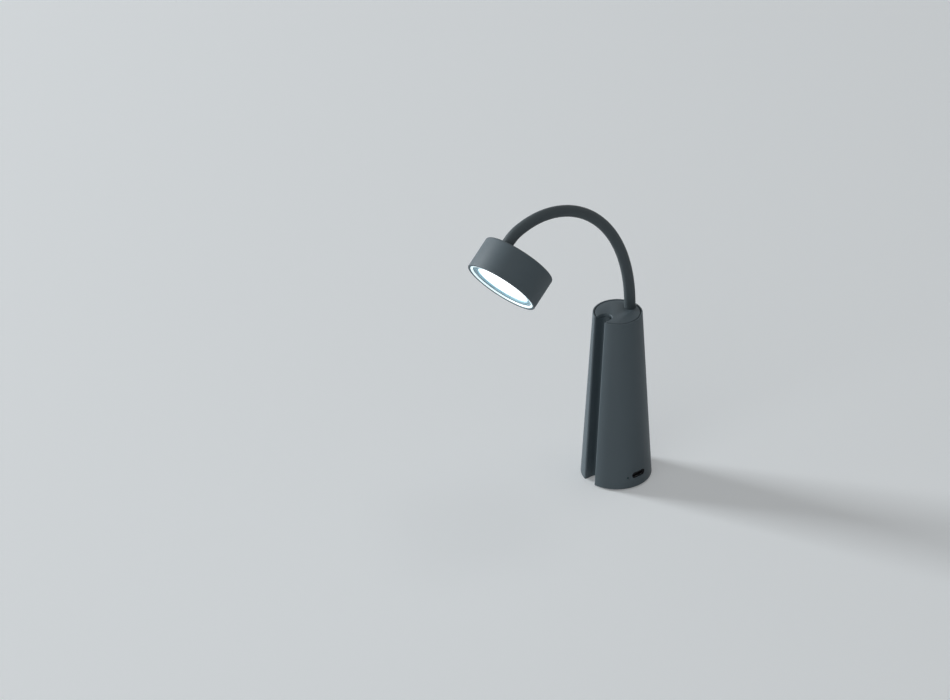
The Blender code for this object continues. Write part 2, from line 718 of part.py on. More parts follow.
def led_board(surface, place):
    """The round metal board behind the light, which spreads its heat."""
    low = LED_BOARD_DEPTH + CLEARANCE
    high = low + LED_BOARD_THICKNESS
    radius = HEAD_RADIUS - HEAD_WALL - CLEARANCE
    disc_profile = [(0.0, low), (radius, low), (radius, high), (0.0, high)]
    board = finish(turned(disc_profile, INNER_STEPS), "led_board", surface, place)
    through = LED_SCREW_RADIUS + CLEARANCE
    return drill(
        board, "led_board_holes", led_screw_spots(), through, low - CUT_OVERRUN, high + CUT_OVERRUN, place
    )


def led_screw_spots():
    """Where the light board's screws stand, inside the flange."""
    circle = HEAD_RADIUS - HEAD_WALL - BOARD_FLANGE / 2
    return [(circle * cos(bearing), circle * sin(bearing)) for bearing in LED_SCREW_BEARINGS]


def led_emitter(surface, place):
    """The light source: a round package with a raised, domed field of phosphor."""
    low = LED_BOARD_DEPTH + LED_BOARD_THICKNESS + CLEARANCE * 2
    step = low + EMITTER_HEIGHT
    field = EMITTER_RADIUS * PHOSPHOR_SHARE
    dome = [(field * cos(a), step + EMITTER_HEIGHT * sin(a)) for a in (pi / 8, pi / 4, 3 * pi / 8)]
    profile = (
        [(0.0, low), (EMITTER_RADIUS, low), (EMITTER_RADIUS, step), (field, step)]
        + dome + [(0.0, step + EMITTER_HEIGHT)]
    )
    return finish(turned(profile, SMALL_STEPS), "led_emitter", surface, place)


def add_cylinder(bm, spot, radius, low, high):
    """Adds an upright cylinder to a bmesh as a body of its own."""
    one = turned([(0.0, low), (radius, low), (radius, high), (0.0, high)], SMALL_STEPS // 2)
    bmesh.ops.translate(one, verts=one.verts, vec=(spot[0], spot[1], 0.0))
    join_bmesh(bm, one)


def join_bmesh(bm, one):
    """Adds one bmesh to another."""
    held = bpy.data.meshes.new("held")
    one.to_mesh(held)
    one.free()
    bm.from_mesh(held)
    bpy.data.meshes.remove(held)


def reflector_cup(surface, place):
    """The white moulded cup: a cone behind the diffuser, its seats, and a bright lip out to the shell."""
    low = LED_BOARD_DEPTH + LED_BOARD_THICKNESS + CLEARANCE * 2
    outside = HEAD_RADIUS - HEAD_WALL - CLEARANCE
    trim_seat = outside - GLOW_RING_WIDTH
    diffuser_seat = trim_inside() + DIFFUSER_LAP + CLEARANCE
    cone_top = diffuser_seat - DIFFUSER_LAP
    throat = cone_top * REFLECTOR_THROAT_SHARE
    face = light_face()
    behind = face - TRIM_THICKNESS - CLEARANCE
    seat = behind - CLEARANCE - DIFFUSER_THICKNESS
    under = seat - REFLECTOR_WALL
    profile = [
        (throat, low), (cone_top, seat), (diffuser_seat, seat), (diffuser_seat, behind),
        (trim_seat, behind), (trim_seat, face), (outside, HEAD_LENGTH - CLEARANCE),
        (outside, under), (cone_top + REFLECTOR_WALL, under), (throat + REFLECTOR_WALL, low),
    ]
    return finish(turned(profile, INNER_STEPS), "reflector_cup", surface, place)


def light_face():
    """The height of the trim ring's face in the head's frame."""
    return HEAD_LENGTH - LIGHT_RECESS


def trim_inside():
    """The radius of the round opening in the trim ring."""
    return HEAD_RADIUS - HEAD_WALL - CLEARANCE * 2 - GLOW_RING_WIDTH - TRIM_RING_WIDTH


def trim_ring(surface, place):
    """The satin ring round the diffuser, with a bevelled inner edge."""
    outside = trim_inside() + TRIM_RING_WIDTH
    face = light_face()
    profile = [
        (trim_inside(), face - TRIM_THICKNESS), (outside, face - TRIM_THICKNESS), (outside, face),
        (trim_inside() + TRIM_THICKNESS / 2, face), (trim_inside(), face - TRIM_THICKNESS / 2),
    ]
    return finish(turned(profile, INNER_STEPS), "trim_ring", surface, place)


def diffuser(surface, place):
    """The opal disc that spreads the light."""
    high = light_face() - TRIM_THICKNESS - CLEARANCE
    low = high - DIFFUSER_THICKNESS
    radius = trim_inside() + DIFFUSER_LAP
    profile = [(0.0, low), (radius, low), (radius, high), (0.0, high)]
    return finish(turned(profile, INNER_STEPS), "diffuser", surface, place)


def led_screws(surface, place):
    """The small screws that hold the light board to the flange."""
    under = LED_BOARD_DEPTH + LED_BOARD_THICKNESS + CLEARANCE * 2
    heights = (under + LED_SCREW_HEAD_HEIGHT, under, LED_BOARD_DEPTH - BOARD_FLANGE_THICKNESS)
    radii = (LED_SCREW_HEAD_RADIUS, LED_SCREW_RADIUS)
    for number, spot in enumerate(led_screw_spots(), start=1):
        screw(f"led_screw_{number}", spot, radii, heights, surface, place)


def build():
    clear_scene()
    grey = make_material("soft_grey_paint", (0.19, 0.226, 0.256), 0.55, 0.0)
    sleeve = make_material("grey_sleeve", (0.165, 0.196, 0.222), 0.65, 0.0)
    rubber = make_material("foot_rubber", (0.03, 0.03, 0.032), 0.9, 0.0)
    black = make_material("black_moulding", (0.04, 0.04, 0.045), 0.6, 0.0)
    white = make_material("white_moulding", (0.86, 0.88, 0.9), 0.4, 0.0)
    glow = make_material("opal_diffuser", (0.92, 0.96, 1.0), 0.4, 0.0, 6.0)
    satin = make_material("satin_trim", (0.42, 0.5, 0.55), 0.35, 0.8)
    steel = make_material("steel", (0.55, 0.56, 0.58), 0.4, 1.0)
    nickel = make_material("nickel", (0.68, 0.67, 0.64), 0.3, 1.0)
    brass = make_material("brass", (0.75, 0.58, 0.3), 0.3, 1.0)
    copper = make_material("copper", (0.72, 0.4, 0.25), 0.35, 1.0)
    board = make_material("circuit_board", (0.03, 0.16, 0.07), 0.5, 0.0)
    wrap = make_material("cell_wrap", (0.05, 0.2, 0.42), 0.4, 0.0)
    clear = make_material("clear_pin", (0.12, 0.14, 0.16), 0.2, 0.0)
    phosphor = make_material("phosphor", (0.95, 0.85, 0.35), 0.5, 0.0)

    body_shell(grey)
    top_cap(grey)
    touch_pad(copper)
    base_foot(rubber)
    base_cover(black)
    base_screws(steel)
    ballast_weight(steel)
    board_standoffs(brass)
    main_board(board)
    usb_socket(nickel)
    usb_tongue(black)
    light_pipe("charge_light", LIGHT_PIPE_RADIUS, 0.0, clear)
    battery_carrier(black)
    battery_cell(wrap)
    battery_contact("negative_contact", CARRIER_BOTTOM + CARRIER_PLATE + CLEARANCE, 1, nickel)
    battery_contact("positive_contact", CARRIER_TOP - CARRIER_PLATE - CLEARANCE, -1, nickel)

    neck_root(sleeve)
    root = neck_frame(0.0)[0]
    nut_low = CAP_BOTTOM - CAP_BOSS_DEPTH - CLEARANCE - NUT_HEIGHT
    hex_nut("neck_root_nut", STUD_HOLE_RADIUS, nut_low, Matrix.Translation((root.x, root.y, 0.0)), steel)
    stations = hinge_stations()
    ends = stations[1:] + [NECK_LENGTH]
    for number, (start, end) in enumerate(zip(stations, ends), start=1):
        neck_segment(f"neck_segment_{number:02d}", start, end, sleeve)

    place = head_place()
    head_shell(grey, place)
    neck_axis = Matrix.Translation((0.0, channel_centre(0.0), 0.0))
    hex_nut("head_nut", HOLE_RADIUS, HEAD_BACK_WALL + CLEARANCE, place @ neck_axis, steel)
    led_board(steel, place)
    led_emitter(phosphor, place)
    led_screws(steel, place)
    reflector_cup(white, place)
    diffuser(glow, place)
    trim_ring(satin, place)


if __name__ == "__main__":
    build()
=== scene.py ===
"""The looks of the torch table lamp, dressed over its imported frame. Metres, with +Z up."""

import json
from math import atan2, cos, pi, radians, sin, sqrt

import bmesh
import bpy
from mathutils import Matrix, Vector


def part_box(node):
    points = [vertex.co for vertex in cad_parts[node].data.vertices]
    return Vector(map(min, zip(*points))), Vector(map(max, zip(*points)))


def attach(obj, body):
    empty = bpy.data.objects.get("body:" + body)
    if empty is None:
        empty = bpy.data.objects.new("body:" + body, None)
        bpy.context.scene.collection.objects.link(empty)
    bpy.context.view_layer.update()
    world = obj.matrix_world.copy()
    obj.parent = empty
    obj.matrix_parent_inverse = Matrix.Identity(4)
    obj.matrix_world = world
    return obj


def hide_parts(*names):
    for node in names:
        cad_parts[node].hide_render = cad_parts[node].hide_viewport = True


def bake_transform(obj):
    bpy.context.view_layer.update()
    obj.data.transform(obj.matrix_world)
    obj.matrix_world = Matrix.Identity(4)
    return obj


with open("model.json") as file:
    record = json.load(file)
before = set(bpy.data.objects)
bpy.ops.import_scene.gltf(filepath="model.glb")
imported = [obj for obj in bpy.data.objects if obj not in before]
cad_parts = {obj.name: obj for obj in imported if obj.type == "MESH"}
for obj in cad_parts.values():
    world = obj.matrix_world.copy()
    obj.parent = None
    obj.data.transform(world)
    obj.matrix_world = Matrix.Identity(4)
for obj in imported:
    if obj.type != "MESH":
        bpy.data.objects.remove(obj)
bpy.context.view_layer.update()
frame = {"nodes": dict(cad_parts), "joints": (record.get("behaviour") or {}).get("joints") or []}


# Grip shell: one tapered moulding with a soft matt paint on it. The folded neck's channel is drawn
# in down its front with softly rounded lips, its wall is thin, and it has a recess for the cap, a
# slot for the charging socket and a hole for the charge light.
shell_low, shell_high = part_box("body_shell")
body_height = shell_high[2]
bottom_radius = 0.0221
top_radius = 0.0152
channel_radius = 0.00405
channel_inset = 0.0056
lip_round = 0.0009
rim_round = 0.00028
foot_round = 0.0005
lip_steps = 10
side_steps = 168
channel_steps = 28
base_wall = 0.0011
shell_wall = 0.0016
channel_wall = 0.0012
recess_radius = 0.0141
recess_chamfer = 0.0003
recess_gap = 0.0003
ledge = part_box("ballast_weight")[1][2] + recess_gap
seat_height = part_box("top_cap")[1][2] - 0.0023
recess_rim = recess_radius + recess_chamfer
port_half = 0.0029
port_radius = 0.0018
mouth_flare = 0.00025
overrun = 0.004
weld = 0.000002


def arc(centre, radius, start, end, steps):
    """Points on an arc, both ends included."""
    angles = [start + (end - start) * step / steps for step in range(steps + 1)]
    return [(centre[0] + radius * cos(angle), centre[1] + radius * sin(angle)) for angle in angles]


def body_radius(height):
    """The outer radius of the tapered body."""
    return bottom_radius + (top_radius - bottom_radius) * height / body_height


def plan(height, inset, wall, lip, far_radius=None):
    """The outline at one height, drawn in by an inset, with rounded lips at the channel."""
    outer = (far_radius or body_radius(height)) - inset
    half_width = channel_radius + wall
    middle = body_radius(height) - channel_inset
    across = half_width + lip
    along = -sqrt((outer - lip) ** 2 - across**2)
    turn = atan2(along, across)
    right = arc((across, along), lip, -pi, turn, lip_steps)
    around = arc((0.0, 0.0), outer, turn, pi - turn, side_steps)
    left = [(-x, y) for x, y in reversed(right)]
    inner = arc((0.0, -middle), half_width, pi, 0.0, channel_steps)
    return [Vector((x, y, height)) for x, y in around[1:-1] + left + inner + right]


def rounded_ends(low, high, lower_round, upper_round):
    """Heights and insets for a form whose lower and upper edges may be rounded."""
    lower = arc((lower_round, low + lower_round), lower_round, -pi / 2, -pi, 4)
    upper = arc((upper_round, high - upper_round), upper_round, pi, pi / 2, 4)
    rows = (lower if lower_round else [(0.0, low)]) + (upper if upper_round else [(0.0, high)])
    return [(height, inset) for inset, height in rows]


def loft(outlines):
    """A closed solid bridged from outline to outline."""
    bm = bmesh.new()
    rims = []
    for outline in outlines:
        points = [bm.verts.new(point) for point in outline]
        rims.append([bm.edges.new(pair) for pair in zip(points, points[1:] + points[:1])])
    for lower, upper in zip(rims, rims[1:]):
        bmesh.ops.bridge_loops(bm, edges=lower + upper)
    for rim in (rims[0], rims[-1]):
        bmesh.ops.contextual_create(bm, geom=rim)
    return bm


def slot_outline(across, half_length, radius, inset=0.0):
    """A slot with round ends in a plane square to X, at the charging port's height."""
    bend = radius - inset
    rounds = arc((half_length, 0.0), bend, -pi / 2, pi / 2, 12)
    rounds += arc((-half_length, 0.0), bend, pi / 2, 3 * pi / 2, 12)
    return [Vector((across, y, z + port_height)) for y, z in rounds]


def lathe(profile, steps, place=None):
    """A closed solid turned about local Z from (radius, height) points."""
    bm = bmesh.new()
    points = [bm.verts.new((radius, 0.0, height)) for radius, height in profile]
    for first, second in zip(points, points[1:]):
        bm.edges.new((first, second))
    if profile[0][0] > 0.0:
        bm.edges.new((points[-1], points[0]))
    bmesh.ops.spin(
        bm, geom=bm.verts[:] + bm.edges[:], axis=(0, 0, 1), cent=(0, 0, 0),
        angle=2 * pi, steps=steps, use_merge=True,
    )
    bmesh.ops.remove_doubles(bm, verts=bm.verts, dist=weld)
    if place:
        bmesh.ops.transform(bm, matrix=place, verts=bm.verts)
    return bm


def plug(radius, low, high, steps, place=None):
    """A plain round tool about local Z."""
    return lathe([(0.0, low), (radius, low), (radius, high), (0.0, high)], steps, place)


def combined(bm, *tools, operation="DIFFERENCE"):
    """A bmesh with closed tools cut out of it or joined to it, one after the other."""
    for tool in tools:
        base_mesh, tool_mesh = bpy.data.meshes.new("base"), bpy.data.meshes.new("tool")
        for source, mesh in ((bm, base_mesh), (tool, tool_mesh)):
            bmesh.ops.recalc_face_normals(source, faces=source.faces)
            source.to_mesh(mesh)
            source.free()
        base = bpy.data.objects.new("base", base_mesh)
        cutter = bpy.data.objects.new("cutter", tool_mesh)
        for helper in (base, cutter):
            bpy.context.scene.collection.objects.link(helper)
        change = base.modifiers.new("carve", "BOOLEAN")
        change.operation = operation
        change.solver = "EXACT"
        change.object = cutter
        settled = base.evaluated_get(bpy.context.evaluated_depsgraph_get())
        bm = bmesh.new()
        bm.from_mesh(settled.to_mesh())
        settled.to_mesh_clear()
        for helper, mesh in ((base, base_mesh), (cutter, tool_mesh)):
            bpy.data.objects.remove(helper, do_unlink=True)
            bpy.data.meshes.remove(mesh)
        bmesh.ops.remove_doubles(bm, verts=bm.verts, dist=weld)
    return bm


def new_group(name, inputs, outputs):
    """An empty node group with its sockets, and its entry and exit nodes."""
    group = bpy.data.node_groups.new(name, "ShaderNodeTree")
    for way, sockets in (("INPUT", inputs), ("OUTPUT", outputs)):
        for label, kind in sockets:
            group.interface.new_socket(name=label, in_out=way, socket_type="NodeSocket" + kind)
    return group, group.nodes.new("NodeGroupInput"), group.nodes.new("NodeGroupOutput")


def make_grain():
    """A group that roughens the normal with fine noise, as a sprayed or moulded skin has."""
    group, entry, leave = new_group(
        "grain", [("Scale", "Float"), ("Depth", "Float")], [("Normal", "Vector")]
    )
    nodes, links = group.nodes, group.links
    place = nodes.new("ShaderNodeTexCoord")
    noise = nodes.new("ShaderNodeTexNoise")
    noise.inputs["Detail"].default_value = 4.0
    bump = nodes.new("ShaderNodeBump")
    links.new(place.outputs["Object"], noise.inputs["Vector"])
    links.new(entry.outputs["Scale"], noise.inputs["Scale"])
    links.new(noise.outputs["Fac"], bump.inputs["Height"])
    links.new(entry.outputs["Depth"], bump.inputs["Distance"])
    links.new(bump.outputs["Normal"], leave.inputs["Normal"])
    return group


def make_mottle():
    """A group that changes a colour and a roughness slowly over the surface."""
    group, entry, leave = new_group(
        "mottle",
        [("Light", "Color"), ("Dark", "Color"), ("Smooth", "Float"), ("Rough", "Float")],
        [("Color", "Color"), ("Roughness", "Float")],
    )
    nodes, links = group.nodes, group.links
    place = nodes.new("ShaderNodeTexCoord")
    noise = nodes.new("ShaderNodeTexNoise")
    noise.inputs["Scale"].default_value = 45.0
    noise.inputs["Detail"].default_value = 3.0
    tone = nodes.new("ShaderNodeMix")
    tone.data_type = "RGBA"
    polish = nodes.new("ShaderNodeMapRange")
    links.new(place.outputs["Object"], noise.inputs["Vector"])
    links.new(noise.outputs["Fac"], tone.inputs["Factor"])
    links.new(entry.outputs["Dark"], tone.inputs[6])
    links.new(entry.outputs["Light"], tone.inputs[7])
    links.new(noise.outputs["Fac"], polish.inputs["Value"])
    links.new(entry.outputs["Smooth"], polish.inputs["To Min"])
    links.new(entry.outputs["Rough"], polish.inputs["To Max"])
    links.new(tone.outputs[2], leave.inputs["Color"])
    links.new(polish.outputs["Result"], leave.inputs["Roughness"])
    return group


grain_group = make_grain()
mottle_group = make_mottle()


def finish_coat(name, colour, roughness, grain, depth, metallic=0.0, change=0.06, specular=0.5):
    """A material of one finish: mottled colour and roughness, and a grain of a given size."""
    made = bpy.data.materials.new(name)
    made.use_nodes = True
    nodes, links = made.node_tree.nodes, made.node_tree.links
    shader = nodes["Principled BSDF"]
    shader.inputs["Metallic"].default_value = metallic
    shader.inputs["Specular IOR Level"].default_value = specular
    mottle = nodes.new("ShaderNodeGroup")
    mottle.node_tree = mottle_group
    mottle.inputs["Light"].default_value = (*[tone * (1 + change) for tone in colour], 1.0)
    mottle.inputs["Dark"].default_value = (*[tone * (1 - change) for tone in colour], 1.0)
    mottle.inputs["Smooth"].default_value = roughness * (1 - change)
    mottle.inputs["Rough"].default_value = roughness * (1 + change)
    skin = nodes.new("ShaderNodeGroup")
    skin.node_tree = grain_group
    skin.inputs["Scale"].default_value = 1.0 / grain
    skin.inputs["Depth"].default_value = depth
    links.new(mottle.outputs["Color"], shader.inputs["Base Color"])
    links.new(mottle.outputs["Roughness"], shader.inputs["Roughness"])
    links.new(skin.outputs["Normal"], shader.inputs["Normal"])
    return made


def piece(bm, name, material, body, *stands_for):
    """A finished piece with smooth sides and crisp corners. It rides on a body, if one is given."""
    bmesh.ops.recalc_face_normals(bm, faces=bm.faces)
    mesh = bpy.data.meshes.new(name)
    bm.to_mesh(mesh)
    bm.free()
    mesh.shade_smooth()
    mesh.set_sharp_from_angle(angle=radians(32))
    mesh.materials.append(material)
    made = bpy.data.objects.new(name, mesh)
    bpy.context.scene.collection.objects.link(made)
    if body:
        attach(made, body)
    if stands_for:
        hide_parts(*stands_for)
    return made


port_low, port_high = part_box("usb_socket")
port_height = (port_low[2] + port_high[2]) / 2
pin_low, pin_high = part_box("charge_light")
pin_middle = (Vector(pin_low) + Vector(pin_high)) / 2
pin_radius = 0.0007
pin_depth = 0.004
pin_hole_radius = pin_radius * 1.2
pin_hole_depth = pin_depth * 1.5
pin_face = body_radius(pin_middle.z)
pin_turn = Matrix.Rotation(atan2(pin_middle.y, pin_middle.x), 4, "Z")
pin_turn = pin_turn @ Matrix.Rotation(pi / 2, 4, "Y")
pin_place = Matrix.Translation((0.0, 0.0, pin_middle.z)) @ pin_turn

skin = loft([
    plan(height, inset, inset, lip_round - inset)
    for height, inset in rounded_ends(shell_low[2], body_height, foot_round, rim_round)
])
below, above = shell_low[2] - overrun, seat_height + recess_gap
cavity = loft([
    plan(height, wall, channel_wall, channel_wall / 2)
    for height, wall in (
        (below, base_wall), (ledge, base_wall), (ledge + weld, shell_wall), (above, shell_wall)
    )
])
recess = lathe([
    (0.0, seat_height), (recess_radius, seat_height),
    (recess_radius, body_height - recess_chamfer), (recess_rim, body_height),
    (recess_rim, body_height + overrun), (0.0, body_height + overrun),
], 192)
port_slot = loft([
    slot_outline(across, port_half, port_radius, inset)
    for across, inset in (
        (top_radius, 0.0), (port_high[0] - mouth_flare * 2, 0.0),
        (port_high[0] + mouth_flare * 2, -mouth_flare), (bottom_radius + overrun, -mouth_flare),
    )
])
pin_hole = plug(pin_hole_radius, pin_face - pin_hole_depth, pin_face + overrun, 32, pin_place)
grey_paint = finish_coat("soft_grey_paint", (0.07, 0.094, 0.108), 0.56, 0.00035, 0.000012)
black_moulding = finish_coat(
    "black_moulding", (0.016, 0.016, 0.018), 0.6, 0.0005, 0.000015, specular=0.25
)
grip_form = combined(skin, cavity, recess, port_slot, pin_hole)
grip = piece(grip_form, "grip_shell", grey_paint, "body", "body_shell")
grip.data.materials.append(black_moulding)
# The slot's cut walls take the black material as painted shade: the shade in the slot is painted
# black on them.
mouth_radius = port_radius * 1.1
wall_lean = 0.6
for side in grip.data.polygons:
    across, upward = abs(side.center.y), abs(side.center.z - port_height)
    in_slot = across < port_half + mouth_radius and upward < mouth_radius
    if side.center.x > top_radius and abs(side.normal.x) < wall_lean and in_slot:
        side.material_index = 1


# Charge light: the end of a clear moulded pin, smoke-tinted, pushed into its hole beside the
# charging port. Its other end stands over a small light on the circuit board.
smoked_clear = finish_coat("smoked_clear", (0.02, 0.05, 0.06), 0.15, 0.001, 0.000002)
pin_round = pin_radius * 0.4
profile = [(0.0, pin_face - pin_depth), (pin_radius, pin_face - pin_depth)]
profile += arc((pin_radius - pin_round, pin_face - pin_round), pin_round, 0.0, pi / 2, 4)
profile += [(0.0, pin_face)]
piece(lathe(profile, 32, pin_place), "charge_pin", smoked_clear, "body", "charge_light")


# Cap: a flush disc in the same paint, pressed into the shell's recess so that a fine seam shows
# round it. It is notched for the folded neck, and a seat and a bored boss take the neck's root. The
# touch switch's copper pad is stuck under it.
cap_low, cap_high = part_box("top_cap")
cap_radius = cap_high[0] - recess_gap
cap_round = 0.0004
cap_bottom = body_height - 0.002
notch_lip = 0.0006
boss_wall = 0.0009
boss_lap = 0.0005
neck_radius = (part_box("neck_root")[1][0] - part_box("neck_root")[0][0]) / 2
seat_depth = 0.0013
seat_gap = 0.00012
seat_round = 0.0001
stud_hole = 0.0028
nut_low, nut_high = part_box("neck_root_nut")
root_axis = Vector(((nut_low[0] + nut_high[0]) / 2, (nut_low[1] + nut_high[1]) / 2, 0.0))
root_place = Matrix.Translation(root_axis)
cap_form = loft([
    plan(height, inset, inset, notch_lip - inset, cap_radius)
    for height, inset in rounded_ends(cap_bottom, body_height, 0.0, cap_round)
])
boss = plug(stud_hole + boss_wall, cap_low[2], cap_bottom + boss_lap, 64, root_place)
seat = neck_radius + seat_gap
profile = [
    (0.0, cap_low[2] - overrun), (stud_hole, cap_low[2] - overrun),
    (stud_hole, body_height - seat_depth), (seat, body_height - seat_depth),
]
profile += arc((seat + seat_round, body_height - seat_round), seat_round, pi, pi / 2, 3)
profile += [(seat + seat_round, body_height + overrun), (0.0, body_height + overrun)]
cap_form = combined(combined(cap_form, boss, operation="UNION"), lathe(profile, 64, root_place))
piece(cap_form, "flush_cap", grey_paint, "body", "top_cap")


def dress(node, material):
    """Gives a kept node its material."""
    slots = frame["nodes"][node].data.materials
    slots.clear()
    slots.append(material)


copper_foil = finish_coat("copper_foil", (0.7, 0.36, 0.2), 0.34, 0.0004, 0.000004, metallic=1.0)
dress("touch_pad", copper_foil)


# Neck's ends: a steel stud goes down through the cap's boss, with a hexagon nut on its thread
# below, and a second one goes through the head's back.
root_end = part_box("neck_root")[0][2]
thread_pitch = 0.0007
thread_cut = 0.00025
stud_radius = 0.0025
plain_share = 0.45


def spread(node, direction):
    """The lowest and highest places of a node's corners along a direction."""
    marks = [Vector(corner.co).dot(direction) for corner in frame["nodes"][node].data.vertices]
    return min(marks), max(marks)


def middle_of(node):
    """The middle of a node's box."""
    low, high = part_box(node)
    return (Vector(low) + Vector(high)) / 2


def threaded_stud(radius, low, high, cut_from, cut_to):
    """The profile of a stud with thread rings between two heights."""
    rows = [(0.0, low), (radius - thread_cut, low)]
    turns = int((cut_to - cut_from) / thread_pitch)
    for turn in range(turns):
        foot = cut_from + turn * thread_pitch
        rows += [(radius - thread_cut, foot), (radius, foot + thread_pitch / 2)]
    return rows + [(radius, cut_to), (radius, high), (0.0, high)]


plain_steel = finish_coat("plain_steel", (0.52, 0.53, 0.55), 0.38, 0.0004, 0.000008, metallic=1.0)
stud_top = body_height - seat_depth + recess_gap
profile = threaded_stud(
    stud_radius, root_end, stud_top, root_end + thread_pitch / 2,
    stud_top - (stud_top - root_end) * plain_share,
)
piece(lathe(profile, 40, root_place), "neck_stud", plain_steel, "neck_root")
dress("neck_root_nut", plain_steel)

light_axis = (middle_of("diffuser") - middle_of("led_board")).normalized()
head_back, head_front = spread("head_shell", light_axis)
on_axis = middle_of("led_board")
head_origin = on_axis + light_axis * (head_back - on_axis.dot(light_axis))
towards_neck = middle_of("head_nut") - head_origin
towards_neck -= light_axis * towards_neck.dot(light_axis)
neck_offset = towards_neck.length
head_outer = towards_neck.normalized()
head_side = head_outer.cross(light_axis)
head_turn = Matrix((head_side, head_outer, light_axis)).transposed().to_4x4()
head_place = Matrix.Translation(head_origin) @ head_turn
tip_place = head_place @ Matrix.Translation((0.0, neck_offset, 0.0))


def depth_of(node):
    """A head piece's lowest and highest place along the light's axis, from the head's back."""
    low, high = spread(node, light_axis)
    return low - head_back, high - head_back


nut_back = depth_of("head_nut")[0]
tip_depth = depth_of("neck_segment_15")[1]
profile = threaded_stud(neck_radius - seat_gap, weld, tip_depth, nut_back, tip_depth - thread_pitch)
piece(lathe(profile, 44, tip_place), "head_stud", plain_steel, "head")
dress("head_nut", plain_steel)


# Neck: a gooseneck of coiled wire inside a smooth grey rubber sleeve. It runs through every hinge
# in one even curve, and is drawn here in stretches from the middle of one link to the next. The
# stretches between links ride on no body and stay where they are drawn. Each one's near and far
# link are looked up, far first for odd stretches, but are not used.
sleeve_sides = 44
sleeve_rings = 20
across_body = Vector((1.0, 0.0, 0.0))
hinges = [Vector(joint["pos_m"]) for joint in frame["joints"][1:]]
root_top = root_axis + Vector((0.0, 0.0, body_height))
stops = [root_top] + hinges + [head_origin + head_outer * neck_offset]


def heading_at(stop):
    """The neck's direction at a stop: upright at the root, square to the head's back at the tip."""
    if stop == 0:
        return Vector((0.0, 0.0, 1.0))
    if stop == len(stops) - 1:
        return light_axis
    before, after = stops[stop] - stops[stop - 1], stops[stop + 1] - stops[stop]
    return (before.normalized() * after.length + after.normalized() * before.length).normalized()


headings = [heading_at(stop) for stop in range(len(stops))]


def neck_place(reach):
    """A ring's place at a reach counted in stops, with its Z along the neck."""
    stop = min(int(reach), len(stops) - 2)
    t = reach - stop
    start, end = stops[stop], stops[stop + 1]
    pull = (end - start).length
    leave, arrive = headings[stop] * pull, headings[stop + 1] * pull
    centre = (start * (2 * t**3 - 3 * t**2 + 1) + leave * (t**3 - 2 * t**2 + t)
              + end * (3 * t**2 - 2 * t**3) + arrive * (t**3 - t**2))
    forward = (start * (6 * t**2 - 6 * t) + leave * (3 * t**2 - 4 * t + 1)
               + end * (6 * t - 6 * t**2) + arrive * (3 * t**2 - 2 * t)).normalized()
    outer = forward.cross(across_body).normalized()
    turn = Matrix((outer.cross(forward), outer, forward)).transposed().to_4x4()
    return Matrix.Translation(centre) @ turn


def sleeve_stretch(places):
    """A stretch of sleeve drawn on from ring to ring and closed at both ends."""
    bm = bmesh.new()
    bmesh.ops.create_circle(bm, segments=sleeve_sides, radius=neck_radius, matrix=places[0])
    rim = bm.edges[:]
    for before, after in zip(places, places[1:]):
        grown = bmesh.ops.extrude_edge_only(bm, edges=rim)["geom"]
        rim = [part for part in grown if isinstance(part, bmesh.types.BMEdge) and part.is_boundary]
        points = [part for part in grown if isinstance(part, bmesh.types.BMVert)]
        bmesh.ops.transform(bm, matrix=after @ before.inverted(), verts=points)
    bmesh.ops.holes_fill(bm, edges=bm.edges, sides=0)
    return bm


grey_sleeve = finish_coat("grey_sleeve", (0.045, 0.06, 0.068), 0.62, 0.0005, 0.00001)
last_link = len(hinges)
foot_ring = root_place @ Matrix.Translation((0.0, 0.0, body_height - seat_depth + recess_gap))
places = [foot_ring] + [neck_place(step / sleeve_rings / 2) for step in range(sleeve_rings + 1)]
piece(sleeve_stretch(places), "sleeve_root", grey_sleeve, "neck_root", "neck_root")
links = ["neck_root"] + [f"neck_link_{number:02d}" for number in range(1, last_link)] + ["head"]
for number in range(1, last_link + 1):
    places = [neck_place(number - 0.5 + step / sleeve_rings) for step in range(sleeve_rings + 1)]
    node = f"neck_segment_{number:02d}"
    stretch = piece(sleeve_stretch(places), f"sleeve_{number:02d}", grey_sleeve, None, node)
    near = (links[number - 1], places[0].translation)
    far = (links[number], places[-1].translation)
    first, second = (far, near) if number % 2 else (near, far)
    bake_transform(stretch)
places = [neck_place(last_link + 0.5 + step / sleeve_rings / 2) for step in range(sleeve_rings + 1)]
piece(sleeve_stretch(places), "sleeve_tip", grey_sleeve, "head")


# Head shell: a drum drawn from sheet in the same paint, with a soft back edge and a fine front lip.
# Its back is bored near the edge for the neck, and a ledge inside carries the light's board.
side_low, side_high = spread("head_shell", head_side)
head_radius = (side_high - side_low) / 2
head_length = head_front - head_back
head_wall = 0.0012
back_wall = 0.0016
back_round = 0.0012
front_round = 0.0003
ledge_width = 0.0034
ledge_height = 0.0012
board_seat = depth_of("led_board")[0] - recess_gap
inside = head_radius - head_wall
profile = [(0.0, 0.0)]
profile += arc((head_radius - back_round, back_round), back_round, -pi / 2, 0.0, 10)
profile += arc((head_radius - front_round, head_length - front_round), front_round, 0.0, pi / 2, 5)
profile += [
    (inside, head_length), (inside, board_seat), (inside - ledge_width, board_seat),
    (inside - ledge_width, board_seat - ledge_height), (inside, board_seat - ledge_height),
    (inside, back_wall), (0.0, back_wall),
]
drum = lathe(profile, 192, head_place)
bore_profile = [(0.0, -overrun), (seat + seat_round, -overrun)]
bore_profile += arc((seat + seat_round, seat_round), seat_round, -pi / 2, -pi, 3)
bore_profile += [(seat, back_wall * 2), (0.0, back_wall * 2)]
neck_bore = lathe(bore_profile, 56, tip_place)
piece(combined(drum, neck_bore), "head_drum", grey_paint, "head", "head_shell")


